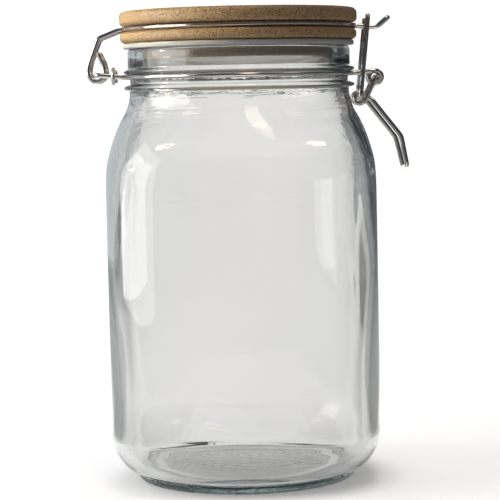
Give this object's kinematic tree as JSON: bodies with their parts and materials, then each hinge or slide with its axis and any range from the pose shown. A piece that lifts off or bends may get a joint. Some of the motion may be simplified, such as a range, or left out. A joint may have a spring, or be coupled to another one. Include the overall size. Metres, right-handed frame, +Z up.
{
  "type": "glass storage jar",
  "caption": "Rounded square glass storage jar with a round foot and neck, a turned bamboo lid on a seal, and a sprung wire clasp opposite its wire hinge.",
  "frame": {"origin": "middle of the bounding box in plan, in the plane the glass foot stands on; the jar's own axis is 4.05 mm to the -X side of it", "axes": "+Z up, +X from the jar's axis towards the clasp, -X towards the hinge, a flat side of the body faces -Y"},
  "size_m": [0.1361, 0.1134, 0.198],
  "materials": {
    "glass": "clear, faint grey-green",
    "bamboo": "satin, turned bamboo",
    "seal": "satin translucent silicone",
    "wire": "polished wire"
  },
  "bodies": {
    "jar": {"glass_jar": "glass", "neck_wire": "wire", "tie_loop": "wire"},
    "lid": {"bamboo_lid": "bamboo", "seal": "seal", "lid_wire": "wire"},
    "lever": {"lever": "wire"},
    "link": {"link": "wire"}
  },
  "joints": [
    {"name": "lid_hinge", "type": "hinge", "parent": "jar", "child": "lid", "pos_m": [-0.06345, 0, 0.1718], "axis": [0, -1, 0], "range_deg": [0, 195]},
    {"name": "lever_pivot", "type": "hinge", "parent": "jar", "child": "lever", "pos_m": [0.05315, 0, 0.1687], "axis": [0, -1, 0], "range_deg": [0, 120]},
    {"name": "link_pivot", "type": "hinge", "parent": "lever", "child": "link", "pos_m": [0.04645, 0, 0.1601], "axis": [0, -1, 0], "range_deg": [-92, 0]}
  ],
  "couplings": [
    {"joint": "link_pivot", "follows": "lever_pivot", "ratio": -0.76}
  ]
}
